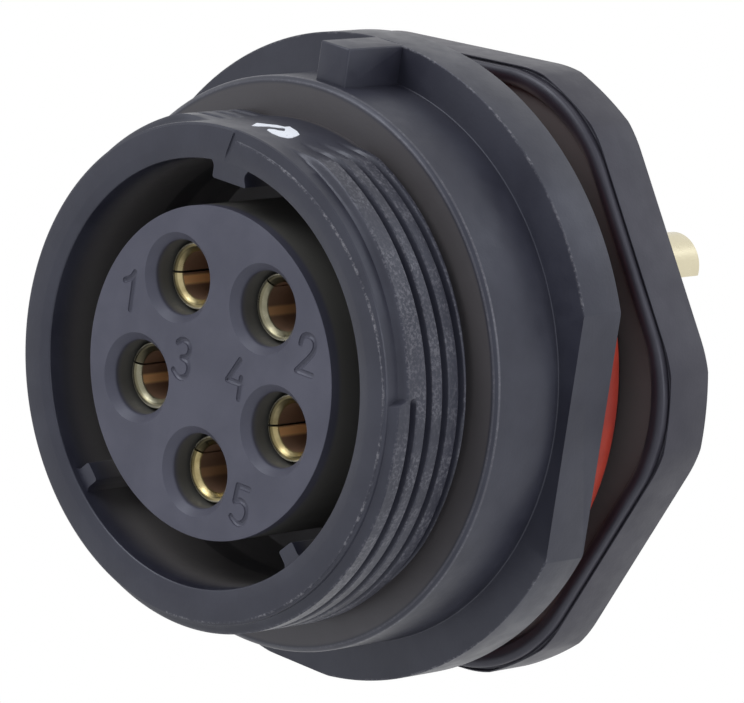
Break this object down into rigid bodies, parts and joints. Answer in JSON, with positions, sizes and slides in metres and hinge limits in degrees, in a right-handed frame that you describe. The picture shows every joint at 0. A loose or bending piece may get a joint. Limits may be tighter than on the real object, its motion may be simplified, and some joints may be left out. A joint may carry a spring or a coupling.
{
  "type": "panel mount connector",
  "caption": "Round threaded panel mount receptacle with slit socket contacts, keyed mouth, flats on its flange, panel seal ring and hexagonal panel nut.",
  "frame": {"origin": "centre of the contact insert's front face, on the connector's axis", "axes": "-Y out of the mating end along the axis, +Z towards the main key, +X to the right seen from the front"},
  "size_m": [0.022, 0.0207, 0.0213],
  "materials": {
    "shell_plastic": "moulded black glass-filled nylon, satin",
    "nut_plastic": "moulded black nylon, satin",
    "insert_plastic": "moulded dark grey insulator, matt",
    "contact_gold": "turned brass with bright gold plating",
    "red_silicone": "smooth red silicone",
    "black_rubber": "black rubber",
    "spring_steel": "spring steel, oiled"
  },
  "bodies": {
    "shell": {"shell": "shell_plastic", "contact_insert": "insert_plastic", "contact_retainer": "insert_plastic", "contact_1": "contact_gold", "contact_2": "contact_gold", "contact_3": "contact_gold", "contact_4": "contact_gold", "contact_5": "contact_gold", "insert_seal": "black_rubber", "panel_o_ring": "red_silicone", "retaining_ring": "spring_steel"},
    "nut": {"panel_nut": "nut_plastic"}
  },
  "joints": [
    {"name": "panel_nut_travel", "type": "slide", "parent": "shell", "child": "nut", "axis": [0, 1, 0], "range_m": [-0.0004, 0.003]}
  ]
}
